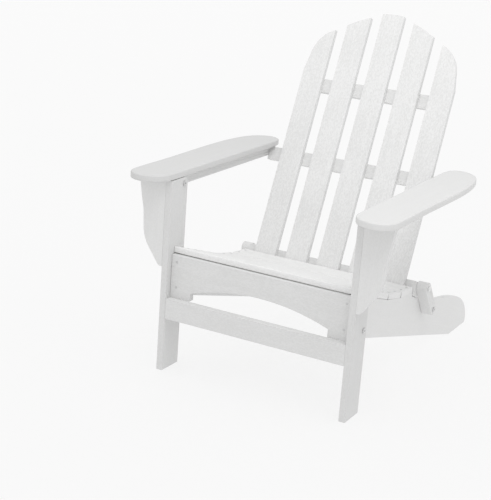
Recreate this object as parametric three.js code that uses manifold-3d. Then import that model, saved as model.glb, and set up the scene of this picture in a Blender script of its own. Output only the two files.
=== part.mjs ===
// Folding Adirondack chair in white plastic lumber.
// Millimetres, +Z up. The sitter faces -Y, and the sitter's left hand is on the +X side.
// Side profiles are drawn as [y, z] pairs, with y measured back from the front face of the
// legs; the whole chair is then moved so that its footprint is centred on the origin.
import * as THREE from 'three';
import { mergeVertices } from 'three/addons/utils/BufferGeometryUtils.js';
import Module from 'manifold-3d';

// ---- driving dimensions ----------------------------------------------------------------
const GAP = 0.3;                  // clearance between boards that touch
const FOOTPRINT_MID_Y = 425;      // middle of the footprint, behind the legs' front face

const STRINGER_OUTER_X = 257;     // outer face of the sloping side rails
const STRINGER_T = 19;
const SEAT_HALF = 258.2;          // half length of the seat slats and the apron
const SEAT_T = 16;                // seat slat thickness
const SEAT_SLOPE = 17.8;          // degrees, front part of the seat
const SEAT_NOSE = { y: 30, z: 338.14 };
const APRON = { y: 20.5, t: 18, top: 318.2, shoulder: 200.8 };
const ARCH = { half: 198.3, end: 222, rise: 34 };   // in the apron's lower edge

const LEG = { inner: 259, t: 17, depth: 78, top: 516 };
const STRETCHER = { y: 0, t: 20, bottom: 146, top: 201 };
const BRACKET_T = 16;

const ARM = { top: 534.7, t: 17.5 };
const UNDER_RAIL = { t: 16, bottom: 490, front: 19.5, back: 583 };

const RECLINE = 23.9;             // degrees behind the vertical
const BACK_FOOT = { y: 415.4, z: 222.9 };   // where the slats' front plane is measured from
const BACK_T = 15;
const SLAT_W = 66;
const SLAT_PITCH = 98.4;
const SLAT_FOOT = 17;             // slat ends, up the slope from BACK_FOOT
const RAIL_BASE = { low: -3.5, high: 37.5, t: 41, halfLength: 257.2 };
const RAIL_ARM = { low: 289, high: 327.5, t: 18, halfLength: 276 };
const RAIL_TOP = { low: 508.5, high: 548.5, t: 18, halfLength: 221 };

const BLOCK = { inner: 257.6, t: 30, r: 16 };

const BOLT_R = 4;
const HOLE_R = 4.1;
const BOLT_HEAD = { r: 6.9, t: 3.2, socketR: 2.4, socketDeep: 1.8 };
const NUT = { r: 7.5, t: 6 };
const BARREL = { r: 6, half: 7, inset: 34 };
const ROUND = 32;                 // sides of a bolt or a bolt hole

// pivot centres in side view, [y, z]
const LEG_PIVOT = [61, 226];
const ARM_FRONT_PIVOT = [62, 500];
const ARM_REAR_PIVOT = [563, 498];
const BLOCK_TOP_PIVOT = [466, 230];
const BLOCK_LOW_PIVOT = [524, 154];

// ---- materials -------------------------------------------------------------------------
const plastic = (color) => new THREE.MeshStandardMaterial({ color, roughness: 0.62, metalness: 0 });
const LUMBER = 0xe9e9e6;
const LUMBER_COOL = 0xe4e5e4;
const steel = () => new THREE.MeshStandardMaterial({ color: 0xb4b8bb, roughness: 0.34, metalness: 1 });

// ---- solids ----------------------------------------------------------------------------
const wasm = await Module();
wasm.setup();

function toManifold(geometry) {
  const bare = new THREE.BufferGeometry();
  bare.setAttribute('position', geometry.getAttribute('position').clone());
  if (geometry.index) bare.setIndex(geometry.index.clone());
  const welded = mergeVertices(bare, 1e-4);
  return new wasm.Manifold(new wasm.Mesh({
    numProp: 3,
    vertProperties: new Float32Array(welded.getAttribute('position').array),
    triVerts: new Uint32Array(welded.index.array),
  }));
}

function toGeometry(manifold) {
  const mesh = manifold.getMesh();
  const geometry = new THREE.BufferGeometry();
  geometry.setAttribute('position', new THREE.BufferAttribute(mesh.vertProperties, 3));
  geometry.setIndex(new THREE.BufferAttribute(mesh.triVerts, 1));
  const flat = geometry.toNonIndexed();
  flat.computeVertexNormals();
  return flat;
}

const radians = THREE.MathUtils.degToRad;

const shapeOf = (points) => new THREE.Shape(points.map(([a, b]) => new THREE.Vector2(a, b)));

function withHoles(shape, holes, radius = HOLE_R) {
  for (const [a, b] of holes) {
    const ring = [];
    for (let i = 0; i < ROUND; i += 1) {
      const turn = (-2 * Math.PI * i) / ROUND;
      ring.push(new THREE.Vector2(a + radius * Math.cos(turn), b + radius * Math.sin(turn)));
    }
    shape.holes.push(new THREE.Path(ring));
  }
  return shape;
}

function extrude(shape, thickness, bevel = 0) {
  return new THREE.ExtrudeGeometry(shape, {
    depth: thickness - 2 * bevel,
    bevelEnabled: bevel > 0,
    bevelThickness: bevel,
    bevelSize: bevel,
    bevelOffset: -bevel,
    bevelSegments: 2,
    curveSegments: 16,
  }).translate(0, 0, bevel);
}

// A board whose outline is drawn in side view [y, z]; it fills x = x0 .. x0 + thickness.
function sideBoard(points, x0, thickness, holes = [], bevel = 0) {
  const g = extrude(withHoles(shapeOf(points), holes), thickness, bevel);
  g.applyMatrix4(new THREE.Matrix4().set(0, 0, 1, x0, 1, 0, 0, 0, 0, 1, 0, 0, 0, 0, 0, 1));
  return g;
}

// A board whose outline is drawn in front view [x, z]; it fills y = y0 .. y0 + thickness.
function frontBoard(points, y0, thickness, bevel = 0) {
  const g = extrude(shapeOf(points), thickness, bevel);
  g.applyMatrix4(new THREE.Matrix4().set(1, 0, 0, 0, 0, 0, -1, y0 + thickness, 0, 1, 0, 0, 0, 0, 0, 1));
  return g;
}

// A board whose outline is drawn from above [x, y]; it fills z = z0 .. z0 + thickness.
const flatBoard = (points, z0, thickness, bevel = 0) =>
  extrude(shapeOf(points), thickness, bevel).translate(0, 0, z0);

const mirrored = (geometry) => {
  const source = geometry.index ? geometry.toNonIndexed() : geometry.clone();
  source.scale(-1, 1, 1);
  const p = source.getAttribute('position');
  for (let i = 0; i < p.count; i += 3) {
    const [x, y, z] = [p.getX(i), p.getY(i), p.getZ(i)];
    p.setXYZ(i, p.getX(i + 1), p.getY(i + 1), p.getZ(i + 1));
    p.setXYZ(i + 1, x, y, z);
  }
  source.computeVertexNormals();
  return source;
};

const curve = (points, steps) =>
  new THREE.SplineCurve(points.map(([a, b]) => new THREE.Vector2(a, b)))
    .getPoints(steps).map((v) => [v.x, v.y]);

const arc = ([a, b], radius, from, to, steps) => {
  const points = [];
  for (let i = 0; i <= steps; i += 1) {
    const turn = radians(from + ((to - from) * i) / steps);
    points.push([a + radius * Math.cos(turn), b + radius * Math.sin(turn)]);
  }
  return points;
};

// A round along X from x0 to x1, centred on a pivot.
function roundBar(radius, x0, x1, [y, z], sides = ROUND) {
  const g = new THREE.CylinderGeometry(radius, radius, x1 - x0, sides);
  g.rotateZ(-Math.PI / 2);
  return g.translate((x0 + x1) / 2, y, z);
}

// ---- the tree --------------------------------------------------------------------------
const chair = new THREE.Group();
chair.name = 'adirondack_chair';
const frame = new THREE.Group();
frame.position.y = -FOOTPRINT_MID_Y;
chair.add(frame);

function add(name, geometry, material) {
  const mesh = new THREE.Mesh(geometry, material);
  mesh.name = name;
  frame.add(mesh);
}

function addPair(name, geometry, material) {
  add(`${name}_left`, geometry, material());
  add(`${name}_right`, mirrored(geometry), material());
}

// Button-head bolt along X: the head is on the side given by `side`, beyond headX.
function bolt(pivot, headX, tipX, side) {
  const head = side > 0
    ? roundBar(BOLT_HEAD.r, headX, headX + BOLT_HEAD.t, pivot)
    : roundBar(BOLT_HEAD.r, headX - BOLT_HEAD.t, headX, pivot);
  const shank = side > 0
    ? roundBar(BOLT_R, tipX, headX + 1, pivot)
    : roundBar(BOLT_R, headX - 1, tipX, pivot);
  const face = headX + side * BOLT_HEAD.t;
  const deep = face - side * BOLT_HEAD.socketDeep;
  const [near, far] = [Math.min(face + side, deep), Math.max(face + side, deep)];
  const socket = roundBar(BOLT_HEAD.socketR, near, far, pivot, 6);
  return toGeometry(toManifold(head).add(toManifold(shank)).subtract(toManifold(socket)));
}

// Hexagon nut on the bolt, filling x0 .. x0 + its thickness.
const nut = (pivot, x0) => toGeometry(
  toManifold(roundBar(NUT.r, x0, x0 + NUT.t, pivot, 6))
    .subtract(toManifold(roundBar(HOLE_R, x0 - 1, x0 + NUT.t + 1, pivot))),
);

// ---- seat frame ------------------------------------------------------------------------
const slope = Math.tan(radians(SEAT_SLOPE));
const seatTop = (y) => SEAT_NOSE.z - slope * (y - SEAT_NOSE.y);
const SEAT_BEND_1 = { y: 254, tilt: 12 };     // fourth slat
const SEAT_BEND_2 = { y: 343, tilt: 5 };      // fifth slat
const bend1Z = seatTop(SEAT_BEND_1.y);
const bend2Z = bend1Z - (SEAT_BEND_2.y - SEAT_BEND_1.y) * Math.tan(radians(SEAT_BEND_1.tilt));
const under = (tilt) => (SEAT_T + GAP) / Math.cos(radians(tilt));

const stringerFront = APRON.y + APRON.t + GAP;
const stringerProfile = [
  [stringerFront, seatTop(stringerFront) - under(SEAT_SLOPE)],
  [stringerFront, STRETCHER.top + GAP],
  [56, STRETCHER.top + GAP],
  [775, 0],
  [906, 0],
  [911, 3],
  [911, 22],
  [905, 38],
  [897, 52],
  [884, 67],
  [867, 81],
  [845, 94],
  [814, 107.5],
  [770, 120],
  [727, 130],
  [658, 142.5],
  [560, 171],
  [466.5, 194.9],
  [427.6, 212.2],
  [421.4, bend2Z - 78.4 * Math.tan(radians(SEAT_BEND_2.tilt)) - under(SEAT_BEND_2.tilt)],
  [SEAT_BEND_2.y - 1, bend2Z - under(SEAT_BEND_2.tilt)],
  [SEAT_BEND_1.y - 2, bend1Z - under(SEAT_BEND_1.tilt) - 0.4],
];
addPair('stringer',
  sideBoard(stringerProfile, STRINGER_OUTER_X - STRINGER_T, STRINGER_T, [LEG_PIVOT, BLOCK_LOW_PIVOT]),
  () => plastic(LUMBER));

// Seat slats run the full width; each is drawn in its own side view, then tilted into place.
// The first one has its front edge cut plumb.
const seatTilt = radians(SEAT_SLOPE);
const plumbCorner = (r, depth, from, to) =>
  arc([(r + depth * Math.sin(seatTilt)) / Math.cos(seatTilt), -depth], r, from, to, 3);
function seatSlat(width, y, z, tilt, plumbFront = false) {
  const e = 4;
  const low = e - SEAT_T;
  const front = plumbFront
    ? [...plumbCorner(1.5, SEAT_T - 1.5, 270, 180 + SEAT_SLOPE), ...plumbCorner(e, e, 180 + SEAT_SLOPE, 90)]
    : [...arc([e, low], e, 270, 180, 3), ...arc([e, -e], e, 180, 90, 3)];
  const rear = [...arc([width - e, -e], e, 90, 0, 3), ...arc([width - e, low], e, 0, -90, 3)];
  const g = sideBoard([...front, ...rear].reverse(), -SEAT_HALF, 2 * SEAT_HALF);
  return g.rotateX(-radians(tilt)).translate(0, y, z);
}
const SLOPED_SLAT_W = 73.4;
const slopedStep = (SLOPED_SLAT_W + 5) * Math.cos(radians(SEAT_SLOPE));
for (let i = 0; i < 3; i += 1) {
  const y = SEAT_NOSE.y + i * slopedStep;
  add(`seat_slat_${i + 1}`, seatSlat(SLOPED_SLAT_W, y, seatTop(y), SEAT_SLOPE, i === 0), plastic(LUMBER));
}
add('seat_slat_4', seatSlat(86, SEAT_BEND_1.y, bend1Z, SEAT_BEND_1.tilt), plastic(LUMBER));
add('seat_slat_5', seatSlat(78, SEAT_BEND_2.y, bend2Z, SEAT_BEND_2.tilt), plastic(LUMBER));

// Front apron: its lower edge is an arch between two square shoulders.
const archPoints = [];
for (let i = 0; i <= 24; i += 1) {
  const x = ARCH.half * (1 - (2 * i) / 24);
  archPoints.push([x, ARCH.end + ARCH.rise * (1 - (x / ARCH.half) ** 2)]);
}
const apron = frontBoard([
  [-SEAT_HALF, APRON.shoulder], [-SEAT_HALF, APRON.top],
  [SEAT_HALF, APRON.top], [SEAT_HALF, APRON.shoulder],
  [ARCH.half, APRON.shoulder], ...archPoints, [-ARCH.half, APRON.shoulder],
].reverse(), APRON.y, APRON.t);
add('front_apron', apron, plastic(LUMBER));

// ---- front legs, arm brackets and stretcher --------------------------------------------
const legTopR = LEG.depth - ARM_FRONT_PIVOT[0];
const legProfile = [
  [0, 0], [LEG.depth, 0],
  ...arc(ARM_FRONT_PIVOT, legTopR, 0, 90, 8),
  [0, ARM_FRONT_PIVOT[1] + legTopR],
];
addPair('front_leg', sideBoard(legProfile, LEG.inner, LEG.t, [LEG_PIVOT, ARM_FRONT_PIVOT]),
  () => plastic(LUMBER_COOL));

const legOuter = LEG.inner + LEG.t;
const bracketEdge = curve([
  [356, LEG.top], [351, 487], [346, 457], [340.5, 431], [338.5, 399], [336, 369],
  [326, 341], [306, 313], [291, 292], [284, 286],
], 26);
addPair('arm_bracket', frontBoard([
  [legOuter + GAP, 286], [legOuter + GAP, LEG.top], ...bracketEdge,
].reverse(), 0, BRACKET_T), () => plastic(LUMBER_COOL));

const stretcherHalf = LEG.inner - GAP;
add('stretcher', frontBoard([
  [-stretcherHalf, STRETCHER.bottom], [stretcherHalf, STRETCHER.bottom],
  [stretcherHalf, STRETCHER.top], [-stretcherHalf, STRETCHER.top],
], STRETCHER.y, STRETCHER.t), plastic(LUMBER_COOL));

// ---- arms ------------------------------------------------------------------------------
const armOutline = [
  [258, 560],
  ...curve([[258, 2], [260, -16], [266, -31], [279, -47], [300, -58], [323, -60.8], [344, -54], [359, -39],
    [366.5, -18], [368, 10]], 30),
  ...curve([[368, 60], [368, 157], [371, 269], [373, 382], [369.5, 470], [357, 545], [335, 588],
    [306, 607], [280, 604], [264, 588]], 36),
];
addPair('arm', flatBoard(armOutline, ARM.top - ARM.t, ARM.t, 3), () => plastic(LUMBER));

const armUnder = ARM.top - ARM.t - GAP;
const underRailX = legOuter + GAP;
addPair('under_arm_rail', sideBoard([
  [UNDER_RAIL.front, UNDER_RAIL.bottom], [UNDER_RAIL.back - 6, UNDER_RAIL.bottom],
  [UNDER_RAIL.back, UNDER_RAIL.bottom + 6], [UNDER_RAIL.back, armUnder],
  [UNDER_RAIL.front, armUnder],
], underRailX, UNDER_RAIL.t, [ARM_FRONT_PIVOT, ARM_REAR_PIVOT]), () => plastic(LUMBER));

// ---- back ------------------------------------------------------------------------------
// Back pieces are drawn in the plane of the back (x across, s up the slope) or in its side
// view (n behind the slats' front face, s up the slope), then leaned back into place.
const lean = radians(RECLINE);
const backFrame = new THREE.Matrix4().makeTranslation(0, BACK_FOOT.y, BACK_FOOT.z)
  .multiply(new THREE.Matrix4().makeRotationX(-lean));
const inBack = (geometry) => geometry.applyMatrix4(backFrame);

const CROWN = [[0, 758.5], [33, 756], [66, 741], [100, 727], [131, 711], [166, 691], [187, 678.5],
  [203, 661], [212, 647], [219, 628], [223, 605], [226.5, 585], [230, 565]];
const crownCurve = new THREE.SplineCurve(CROWN.map(([x, s]) => new THREE.Vector2(x, s))).getPoints(200);
function crownAt(x) {
  const a = Math.abs(x);
  for (let i = 1; i < crownCurve.length; i += 1) {
    const [p, q] = [crownCurve[i - 1], crownCurve[i]];
    if (q.x >= a) return p.y + ((q.y - p.y) * (a - p.x)) / (q.x - p.x);
  }
  return crownCurve.at(-1).y;
}
for (let i = -2; i <= 2; i += 1) {
  const [x0, x1] = [i * SLAT_PITCH - SLAT_W / 2, i * SLAT_PITCH + SLAT_W / 2];
  const top = [];
  for (let k = 0; k <= 14; k += 1) {
    const x = x1 + ((x0 - x1) * k) / 14;
    top.push([x, crownAt(x)]);
  }
  const slat = frontBoard([[x0, SLAT_FOOT], [x1, SLAT_FOOT], ...top], 0, BACK_T);
  add(`back_slat_${i + 3}`, inBack(slat), plastic(LUMBER));
}

function crossRail({ low, high, t, halfLength }) {
  const e = 2;
  const n = BACK_T + GAP;
  return inBack(sideBoard([
    [n, low], [n + t - e, low], [n + t, low + e],
    [n + t, high - e], [n + t - e, high], [n, high],
  ], -halfLength, 2 * halfLength));
}
add('arm_cross_rail', crossRail(RAIL_ARM), plastic(LUMBER_COOL));
add('top_cross_rail', crossRail(RAIL_TOP), plastic(LUMBER_COOL));

// The base rail turns on bolts in its ends; each bolt is held by a barrel nut let into the
// rail from behind.
const inBackPlane = ([y, z]) => {
  const [dy, dz] = [y - BACK_FOOT.y, z - BACK_FOOT.z];
  return [dy * Math.cos(lean) - dz * Math.sin(lean), dy * Math.sin(lean) + dz * Math.cos(lean)];
};
const [pivotN, pivotS] = inBackPlane(BLOCK_TOP_PIVOT);
const barrelX = RAIL_BASE.halfLength - BARREL.inset;
const boltTipX = barrelX - BARREL.r - 4;

// A round across the rail, from n0 to n1 behind the slats' front face.
const acrossRail = (radius, n0, n1, x) => inBack(
  new THREE.CylinderGeometry(radius, radius, n1 - n0, 24).translate(x, (n0 + n1) / 2, pivotS),
);
let baseRail = toManifold(crossRail(RAIL_BASE));
for (const side of [1, -1]) {
  const [x0, x1] = [side * (boltTipX - 1), side * (RAIL_BASE.halfLength + 1)];
  const bore = roundBar(HOLE_R, Math.min(x0, x1), Math.max(x0, x1), BLOCK_TOP_PIVOT);
  const pocket = acrossRail(BARREL.r + GAP, pivotN - BARREL.half - GAP, 80, side * barrelX);
  baseRail = baseRail.subtract(toManifold(bore)).subtract(toManifold(pocket));
}
add('base_cross_rail', toGeometry(baseRail), plastic(LUMBER_COOL));
addPair('rail_barrel_nut', toGeometry(
  toManifold(acrossRail(BARREL.r, pivotN - BARREL.half, pivotN + BARREL.half, barrelX))
    .subtract(toManifold(roundBar(HOLE_R, barrelX - 9, barrelX + 9, BLOCK_TOP_PIVOT))),
), steel);

// ---- hinge blocks ----------------------------------------------------------------------
const [dy, dz] = [BLOCK_LOW_PIVOT[0] - BLOCK_TOP_PIVOT[0], BLOCK_LOW_PIVOT[1] - BLOCK_TOP_PIVOT[1]];
const blockAngle = THREE.MathUtils.radToDeg(Math.atan2(dz, dy));
const blockProfile = [
  ...arc(BLOCK_LOW_PIVOT, BLOCK.r, blockAngle - 90, blockAngle + 90, 12),
  ...arc(BLOCK_TOP_PIVOT, BLOCK.r, blockAngle + 90, blockAngle + 270, 12),
];
addPair('hinge_block',
  sideBoard(blockProfile, BLOCK.inner, BLOCK.t, [BLOCK_TOP_PIVOT, BLOCK_LOW_PIVOT]),
  () => plastic(LUMBER_COOL));

// ---- pivot bolts and nuts --------------------------------------------------------------
const stringerInner = STRINGER_OUTER_X - STRINGER_T;
const blockOuter = BLOCK.inner + BLOCK.t;
const underRailOuter = underRailX + UNDER_RAIL.t;
const nutSpan = NUT.t + GAP + 2;

addPair('leg_pivot_bolt', bolt(LEG_PIVOT, legOuter + GAP, stringerInner - nutSpan, 1), steel);
addPair('leg_pivot_nut', nut(LEG_PIVOT, stringerInner - GAP - NUT.t), steel);
addPair('block_low_bolt', bolt(BLOCK_LOW_PIVOT, blockOuter + GAP, stringerInner - nutSpan, 1), steel);
addPair('block_low_nut', nut(BLOCK_LOW_PIVOT, stringerInner - GAP - NUT.t), steel);
addPair('block_top_bolt', bolt(BLOCK_TOP_PIVOT, blockOuter + GAP, boltTipX, 1), steel);
addPair('arm_front_bolt', bolt(ARM_FRONT_PIVOT, LEG.inner - GAP, underRailOuter + nutSpan, -1), steel);
addPair('arm_front_nut', nut(ARM_FRONT_PIVOT, underRailOuter + GAP), steel);
addPair('arm_rear_bolt', bolt(ARM_REAR_PIVOT, underRailOuter + GAP, underRailX + 0.4, 1), steel);

export default chair;
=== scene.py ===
import math

import bmesh
import bpy
from mathutils import Matrix, Vector
from mathutils.bvhtree import BVHTree


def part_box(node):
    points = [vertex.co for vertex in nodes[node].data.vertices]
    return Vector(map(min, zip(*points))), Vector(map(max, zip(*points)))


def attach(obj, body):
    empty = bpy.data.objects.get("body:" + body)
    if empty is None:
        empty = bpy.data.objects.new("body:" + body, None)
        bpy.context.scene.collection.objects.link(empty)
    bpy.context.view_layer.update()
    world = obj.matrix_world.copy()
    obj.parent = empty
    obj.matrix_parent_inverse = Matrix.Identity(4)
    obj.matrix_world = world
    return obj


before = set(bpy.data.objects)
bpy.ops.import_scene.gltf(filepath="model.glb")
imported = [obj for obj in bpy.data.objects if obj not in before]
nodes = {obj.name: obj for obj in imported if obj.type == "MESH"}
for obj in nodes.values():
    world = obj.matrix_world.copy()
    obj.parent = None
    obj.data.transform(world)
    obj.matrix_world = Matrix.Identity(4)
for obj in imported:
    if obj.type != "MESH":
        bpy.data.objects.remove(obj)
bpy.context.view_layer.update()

scene = bpy.context.scene

# Directions and places of the chair that the grain and the screws follow, in metres.
RECLINE = math.radians(23.9)          # of the back, behind the vertical
RUNNER_SLOPE = math.radians(19.0)     # mean fall of the side runners
ACROSS, LENGTHWISE, UPRIGHT = (1, 0, 0), (0, 1, 0), (0, 0, 1)
DOWN_RUNNER = (0, math.cos(RUNNER_SLOPE), -math.sin(RUNNER_SLOPE))
DOWN_BLOCK = (0, 0.62, -0.78)         # along a hinge block
UP_BACK = Vector((0, math.sin(RECLINE), math.cos(RECLINE)))
BEHIND_BACK = Vector((0, math.cos(RECLINE), -math.sin(RECLINE)))
BACK_FOOT = Vector((0, -0.0096, 0.2229))    # in the plane of the back slats' front faces
SLAT_PITCH = 0.0984                   # from one back slat to the next
BACK_SLATS, SEAT_SLATS = 5, 5

# Looks of the lumber.
BASE_TONE = 0.730                     # grey of a board whose shade is 1
TONE_SWING = 0.042                    # how far full mottling strays from it
GRAIN_DEPTH = 0.0011
SHADED_HOLLOW_REACH = 0.02                    # size of the corners that get painted shade
WORN_EDGE = 0.0022                    # width of an edge's wear

# Eased edges of the CAD nodes.
BOARD_EASE = 0.0010
STEEL_EASE = 0.0004
SHARP_ANGLE = math.radians(30.0)      # faces that meet at more than this get an eased edge

# Screws.
SCREW_RADIUS = 0.0036
SCREW_STEPS = 36                      # corners round the head
SCREW_LOBES = 6                       # of the recess
APRON_SCREWS = ((0.2425, 0.299), (0.2415, 0.231))    # x and z of each on one side
SEAT_SCREW_X = 0.2475                 # middle of a runner's thickness
SEAT_SCREW_SHARES = (0.27, 0.76)      # of a seat slat's depth, from its front
BACK_SCREW_OFFSET = 0.017             # to either side of a back slat's middle
# How far up the back from BACK_FOOT each rail has its screws.
RAIL_RISES = (("base_cross_rail", 0.028), ("arm_cross_rail", 0.308), ("top_cross_rail", 0.5285))
# Where the rays start that find the boards' surfaces: y, z, and a distance behind the back.
IN_FRONT_OF_APRON, ABOVE_SEAT, CLEAR_OF_BACK = -0.5, 0.6, 0.2


# ---- shader helpers --------------------------------------------------------------------
class Graph:
    """A material's node tree, built with one call per node."""

    def __init__(self, name):
        self.material = bpy.data.materials.new(name)
        self.material.use_nodes = True
        self.tree = self.material.node_tree
        self.tree.nodes.clear()

    def node(self, kind, inputs=None, **settings):
        made = self.tree.nodes.new("ShaderNode" + kind)
        for key, value in settings.items():
            setattr(made, key, value)
        for key, value in (inputs or {}).items():
            if isinstance(value, bpy.types.NodeSocket):
                self.tree.links.new(value, made.inputs[key])
            else:
                made.inputs[key].default_value = value
        return made

    def place(self):
        """The point in the object's own coordinates, in metres."""
        return self.node("TexCoord").outputs["Object"]

    def mapped(self, vector, **inputs):
        """The vector after a Rotation or a Scale."""
        return self.node("Mapping", {"Vector": vector, **inputs}).outputs[0]

    def noise(self, vector, scale, detail, roughness=0.5, distortion=0.0):
        made = self.node("TexNoise", {"Vector": vector, "Scale": scale, "Detail": detail,
                                      "Roughness": roughness, "Distortion": distortion})
        return made.outputs["Fac"]

    def math(self, operation, a, b):
        return self.node("Math", {0: a, 1: b}, operation=operation).outputs[0]

    def weighted_sum(self, *terms):
        """Sum of terms that are each a value and its weight."""
        total, *others = [self.math("MULTIPLY", value, weight) for value, weight in terms]
        for other in others:
            total = self.math("ADD", total, other)
        return total

    def remap(self, value, low, high, to_low=0.0, to_high=1.0):
        """Smooth step of value from low..high to to_low..to_high."""
        made = self.node("MapRange", {"Value": value, "From Min": low, "From Max": high,
                                      "To Min": to_low, "To Max": to_high},
                         interpolation_type="SMOOTHSTEP")
        return made.outputs["Result"]

    def mix(self, factor, a, b):
        made = self.node("Mix", {0: factor, 6: a, 7: b}, data_type="RGBA")
        return made.outputs[2]

    def grey_mix(self, factor, a, b):
        made = self.node("Mix", {0: factor, 2: a, 3: b}, data_type="FLOAT")
        return made.outputs[0]

    def edges(self, radius):
        """About 0 on flat faces, rising to 1 within radius of an outer or inner edge."""
        rounded = self.node("Bevel", {"Radius": radius}, samples=6).outputs[0]
        normal = self.node("NewGeometry").outputs["Normal"]
        dot = self.node("VectorMath", {0: rounded, 1: normal}, operation="DOT_PRODUCT")
        return self.remap(dot.outputs["Value"], 0.999, 0.86)

    def hollows(self, reach, clear, deep):
        """0 where more than clear of the sky within reach is open, 1 where less than deep is."""
        openness = self.node("AmbientOcclusion", {"Distance": reach}, samples=8).outputs["AO"]
        return self.remap(openness, clear, deep)

    def bump(self, height, strength, distance):
        made = self.node("Bump", {"Height": height, "Strength": strength, "Distance": distance})
        return made.outputs[0]

    def finish(self, **inputs):
        """The material, with a shader whose inputs are named with _ for each space."""
        spelled = {key.replace("_", " "): value for key, value in inputs.items()}
        shader = self.node("BsdfPrincipled", spelled)
        self.node("OutputMaterial", {"Surface": shader.outputs[0]})
        return self.material


def rgb(red, green, blue):
    return (red, green, blue, 1.0)


def grey(value):
    return rgb(value, value, value)


# ---- materials -------------------------------------------------------------------------
def lumber(name, grain, mottle, emboss, shade):
    """Moulded white lumber: granular grain along one direction, faint mottling, worn edges,
    painted shade in its corners and hollows, and an overall lightness that is partly painted light
    and shade.
    """
    g = Graph(name)
    place = g.place()
    turn = Vector(grain).to_track_quat("X", "Z").inverted().to_euler()
    along = g.mapped(place, Rotation=turn)

    def stretched(x, y):
        return g.mapped(along, Scale=(x, y, y))

    granule = g.noise(stretched(150, 290), 1.0, 3.0, 0.6, 0.4)
    pebble = g.noise(place, 420.0, 3.0, 0.6)
    streak = g.noise(stretched(9, 95), 1.0, 3.0, 0.5, 0.6)
    fibre = g.noise(stretched(34, 420), 1.0, 3.0, 0.6, 0.3)
    cloud = g.noise(place, 7.0, 3.0, 0.55)

    scuff_patches = g.remap(g.noise(place, 45.0, 4.0, 0.65), 0.40, 0.66)
    scuff = g.math("MULTIPLY", g.edges(WORN_EDGE), scuff_patches)
    # Painted shade: corners and hollows are darkened in patches where shade falls; the same mask
    # also roughens them.
    shaded_hollow_patches = g.remap(g.noise(place, 28.0, 4.0, 0.6), 0.25, 0.75, 0.5, 1.0)
    shaded_hollows = g.math("MULTIPLY", g.hollows(SHADED_HOLLOW_REACH, 0.70, 0.10), shaded_hollow_patches)

    middle, swing = BASE_TONE * shade, TONE_SWING * mottle
    dark, light = middle - swing, middle + swing
    tone = g.weighted_sum((granule, 0.55), (pebble, 0.15), (streak, 0.15), (cloud, 0.15))
    base = g.mix(g.remap(tone, 0.40, 0.60),
                 rgb(dark, dark, dark * 0.994), rgb(light, light, light * 0.997))
    base = g.mix(g.math("MULTIPLY", scuff, 0.35), base, rgb(0.80, 0.80, 0.795))
    # painted shade colour for the corners and hollows
    base = g.mix(g.math("MULTIPLY", shaded_hollows, 0.15), base, rgb(0.50, 0.495, 0.48))

    height = g.weighted_sum((granule, 0.55), (fibre, 0.12), (pebble, 0.20), (streak, 0.12))
    bump = g.bump(height, 0.75 * emboss, GRAIN_DEPTH)

    rough = g.grey_mix(g.remap(granule, 0.3, 0.7), 0.48, 0.62)
    rough = g.grey_mix(g.math("MULTIPLY", shaded_hollows, 0.7), rough, 0.82)
    rough = g.grey_mix(g.math("MULTIPLY", scuff, 0.6), rough, 0.40)
    return g.finish(Base_Color=base, Roughness=rough, Normal=bump, IOR=1.5,
                    Specular_IOR_Level=0.42)


def stainless(name, light, dark, socket_shade_share):
    """Satin stainless steel with fine turning marks and painted shade in the sockets."""
    g = Graph(name)
    place = g.place()
    brushed = g.noise(g.mapped(place, Scale=(1800, 300, 300)), 1.0, 3.0)
    blotch = g.noise(place, 160.0, 4.0, 0.6)
    # Painted shade: sockets and other hollows are darkened towards dark grey.
    socket_shade = g.hollows(0.004, 0.75, 0.25)
    base = g.mix(g.remap(blotch, 0.3, 0.7), grey(dark), grey(light))
    base = g.mix(g.math("MULTIPLY", socket_shade, socket_shade_share), base, grey(0.16))
    rough = g.grey_mix(brushed, 0.34, 0.52)
    bump = g.bump(brushed, 0.25, 0.0001)
    return g.finish(Base_Color=base, Roughness=rough, Metallic=1.0, Normal=bump)


def pale_floor():
    """White studio floor that glows a little, so that shadows on it stay faint."""
    return Graph("pale_floor").finish(
        Base_Color=grey(0.28), Roughness=0.9, Specular_IOR_Level=0.1,
        Emission_Color=grey(1.0), Emission_Strength=0.72)


# Each kind of board has a grain direction, a strength of mottling and of embossing, and a shade
# that makes it as light as it is in the photograph. These shades are partly painted light and
# shade: lighter and darker copies of one white lumber.
BOARDS = (
    (lumber("lumber_seat", ACROSS, 0.7, 0.7, 1.105), ("seat_slat_",)),
    (lumber("lumber_across", ACROSS, 0.7, 0.6, 1.015),
     ("base_cross_rail", "arm_cross_rail", "top_cross_rail")),
    (lumber("lumber_apron", ACROSS, 0.6, 0.6, 0.98), ("front_apron", "stretcher")),
    (lumber("lumber_upright", UPRIGHT, 0.45, 0.45, 0.945), ("front_leg_",)),
    (lumber("lumber_bracket", UPRIGHT, 0.4, 0.4, 1.025), ("arm_bracket_",)),
    (lumber("lumber_lengthwise", LENGTHWISE, 0.3, 0.3, 0.975), ("arm_left", "under_arm_rail_")),
    # Painted shade: this darker copy of the lengthwise lumber stands in for less light falling on
    # arm_right.
    (lumber("lumber_lengthwise_shaded", LENGTHWISE, 0.3, 0.3, 0.885), ("arm_right",)),
    (lumber("lumber_back", UP_BACK, 1.0, 1.0, 1.04), ("back_slat_",)),
    (lumber("lumber_runner", DOWN_RUNNER, 0.35, 0.35, 1.06), ("stringer_",)),
    (lumber("lumber_block", DOWN_BLOCK, 0.5, 0.5, 1.02), ("hinge_block_",)),
)
STEEL = stainless("stainless_steel", 0.78, 0.66, 0.4)
# Lighter steel with less painted shade in its sockets.
LIGHT_STEEL = stainless("light_steel", 0.90, 0.82, 0.30)
# Darker steel for the screws, with painted shade in their recesses.
SCREW_STEEL = stainless("dark_screw_steel", 0.68, 0.56, 0.3)


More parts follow.
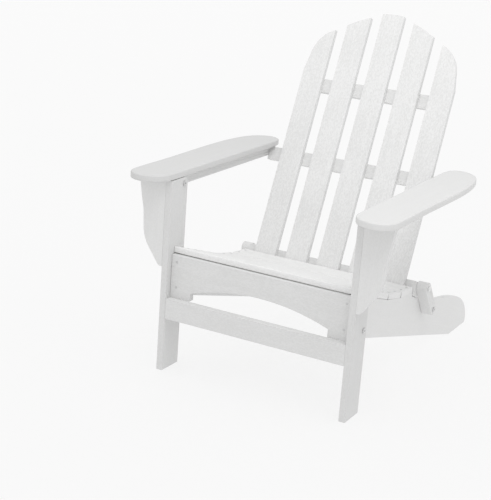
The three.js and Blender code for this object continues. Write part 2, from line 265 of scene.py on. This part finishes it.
def material_for(node):
    """A board's own lumber, or steel, which is lightest and has the least painted shade in its
    sockets on the bolts in the blocks' tops.
    """
    for material, starts in BOARDS:
        if node.startswith(starts):
            return material
    return LIGHT_STEEL if node.startswith("block_top_bolt") else STEEL


# ---- CAD nodes: finish and eased edges -------------------------------------------------
def smooth_group():
    """Modifier group that joins the split corners of a mesh and shades it smooth."""
    group = bpy.data.node_groups.new("joined_smooth", "GeometryNodeTree")
    group.interface.new_socket("Geometry", in_out="INPUT", socket_type="NodeSocketGeometry")
    group.interface.new_socket("Geometry", in_out="OUTPUT", socket_type="NodeSocketGeometry")
    start = group.nodes.new("NodeGroupInput")
    merge = group.nodes.new("GeometryNodeMergeByDistance")
    merge.inputs["Distance"].default_value = 0.00001
    smooth = group.nodes.new("GeometryNodeSetShadeSmooth")
    end = group.nodes.new("NodeGroupOutput")
    group.links.new(start.outputs[0], merge.inputs["Geometry"])
    group.links.new(merge.outputs["Geometry"], smooth.inputs["Geometry"])
    group.links.new(smooth.outputs["Geometry"], end.inputs[0])
    return group


SMOOTH = smooth_group()


def soften(obj, width, segments=3):
    """Shades a node smooth, with its edges eased by width or, if that is 0, left as they are."""
    joined = obj.modifiers.new("joined", "NODES")
    joined.node_group = SMOOTH
    if width:
        bevel = obj.modifiers.new("eased_edges", "BEVEL")
        bevel.width = width
        bevel.segments = segments
        bevel.limit_method = "ANGLE"
        bevel.angle_limit = SHARP_ANGLE
    normals = obj.modifiers.new("flat_faces", "WEIGHTED_NORMAL")
    normals.weight = 100
    normals.keep_sharp = True


for name, obj in nodes.items():
    material = material_for(name)
    obj.data.materials.clear()
    obj.data.materials.append(material)
    if material in (STEEL, LIGHT_STEEL):
        soften(obj, STEEL_EASE, segments=2)
    elif name in ("arm_left", "arm_right"):
        soften(obj, 0)                # the CAD rounds the arms' edges itself
    else:
        soften(obj, BOARD_EASE)


# ---- screws ----------------------------------------------------------------------------
def add_mesh(name, bm, material):
    """Object with the mesh that was built in bm, which is freed."""
    mesh = bpy.data.meshes.new(name)
    bm.to_mesh(mesh)
    bm.free()
    mesh.materials.append(material)
    obj = bpy.data.objects.new(name, mesh)
    scene.collection.objects.link(obj)
    return obj


def add_screw(bm, point, normal):
    """Flat-head screw with a lobed recess, its head just proud of the board."""
    turn = Vector(normal).to_track_quat("Z", "Y").to_matrix().to_4x4()
    spot = Matrix.Translation(point) @ turn
    # Rings from the rim to the recess's floor: share of the radius, height, depth of lobes.
    rings = ((1.00, -0.0004, 0.0), (1.00, 0.0001, 0.0), (0.93, 0.00034, 0.0),
             (0.55, 0.00040, 0.10), (0.50, 0.00036, 0.16), (0.46, 0.00008, 0.16))
    previous = None
    for share, height, lobes in rings:
        ring = []
        for i in range(SCREW_STEPS):
            a = 2 * math.pi * i / SCREW_STEPS
            r = SCREW_RADIUS * share * (1 + lobes * math.cos(SCREW_LOBES * a))
            corner = Vector((r * math.cos(a), r * math.sin(a), height))
            ring.append(bm.verts.new(spot @ corner))
        if previous:
            for i in range(SCREW_STEPS):
                j = (i + 1) % SCREW_STEPS
                bm.faces.new((previous[i], previous[j], ring[j], ring[i])).smooth = True
        previous = ring
    bm.faces.new(previous)


def surface(node):
    """Ray-casting tree of a CAD node's surface."""
    mesh = nodes[node].data
    corners = [v.co for v in mesh.vertices]
    return BVHTree.FromPolygons(corners, [p.vertices for p in mesh.polygons])


def screws(name, body, spots):
    """One piece with all the screws of a body. A spot is a node, a start and a direction to it."""
    bm = bmesh.new()
    for node, start, direction in spots:
        point, normal, _, _ = surface(node).ray_cast(Vector(start), Vector(direction))
        if point is None:
            raise ValueError(f"a screw misses {node} from {start}")
        add_screw(bm, point, normal)
    obj = add_mesh(name, bm, SCREW_STEEL)
    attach(obj, body)


def seat_spots():
    """Two screws at each end of the apron, and two at each end of every seat slat."""
    backward, down = (0, 1, 0), (0, 0, -1)
    for side in (1, -1):
        for x, z in APRON_SCREWS:
            yield "front_apron", (side * x, IN_FRONT_OF_APRON, z), backward
        for i in range(1, SEAT_SLATS + 1):
            low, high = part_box(f"seat_slat_{i}")
            for share in SEAT_SCREW_SHARES:
                y = low.y + share * (high.y - low.y)
                yield f"seat_slat_{i}", (side * SEAT_SCREW_X, y, ABOVE_SEAT), down


def back_spots():
    """Two screws behind each back slat, in the rear face of every cross rail."""
    for rail, rise in RAIL_RISES:
        for i in range(BACK_SLATS):
            middle = (i - BACK_SLATS // 2) * SLAT_PITCH
            for offset in (-BACK_SCREW_OFFSET, BACK_SCREW_OFFSET):
                aside = Vector((middle + offset, 0, 0))
                start = BACK_FOOT + UP_BACK * rise + BEHIND_BACK * CLEAR_OF_BACK + aside
                yield rail, start, -BEHIND_BACK


screws("seat_screws", "seat_frame", seat_spots())
screws("back_screws", "back", back_spots())


# ---- floor, light, camera --------------------------------------------------------------
def build_floor():
    bm = bmesh.new()
    bmesh.ops.create_grid(bm, x_segments=12, y_segments=12, size=40)
    obj = add_mesh("floor", bm, pale_floor())
    obj.location.z = -0.0002          # just below the feet
    return obj


def light_studio():
    """Even white light from all round."""
    world = bpy.data.worlds.new("studio")
    scene.world = world
    world.use_nodes = True
    background = world.node_tree.nodes["Background"]
    background.inputs["Color"].default_value = grey(1.0)
    background.inputs["Strength"].default_value = 0.80


def soft_box(name, place, aim, width, power, unlit):
    """Square soft box that faces the point aim and doesn't light the objects in unlit."""
    light = bpy.data.lights.new(name, "AREA")
    light.shape = "SQUARE"
    light.size = width
    light.energy = power
    obj = bpy.data.objects.new(name, light)
    obj.location = place
    obj.rotation_euler = (Vector(place) - Vector(aim)).to_track_quat("Z", "Y").to_euler()
    scene.collection.objects.link(obj)
    left_out = bpy.data.collections.new(name + "_leaves_out")
    for other in unlit:
        left_out.objects.link(other)
    obj.light_linking.receiver_collection = left_out
    for member in left_out.collection_objects:
        member.light_linking.link_state = "EXCLUDE"


def build_camera():
    """Camera at the photograph's viewing angle, rolled a little as the photograph is."""
    azimuth, elevation, roll = math.radians(28.0), math.radians(16.99), math.radians(4.20)
    place = (1.3977, -3.1182, 1.3132)
    forward = Vector((-math.sin(azimuth) * math.cos(elevation),
                      math.cos(azimuth) * math.cos(elevation), -math.sin(elevation)))
    right = Vector((math.cos(azimuth), math.sin(azimuth), 0))
    up = right.cross(forward)
    x_axis = right * math.cos(roll) + up * math.sin(roll)
    y_axis = up * math.cos(roll) - right * math.sin(roll)
    turn = Matrix((x_axis, y_axis, -forward)).transposed().to_4x4()
    data = bpy.data.cameras.new("camera")
    data.lens = 92.5
    data.sensor_width = 36.0
    data.clip_end = 200.0
    obj = bpy.data.objects.new("camera", data)
    obj.matrix_world = Matrix.Translation(place) @ turn
    scene.collection.objects.link(obj)
    scene.camera = obj


floor = build_floor()
light_studio()
soft_box("key_box", place=(0.8, -1.05, 3.4), aim=(0, 0, 0.5), width=2.2, power=41, unlit=[floor])
scene.view_settings.view_transform = "Standard"
scene.view_settings.look = "None"
build_camera()
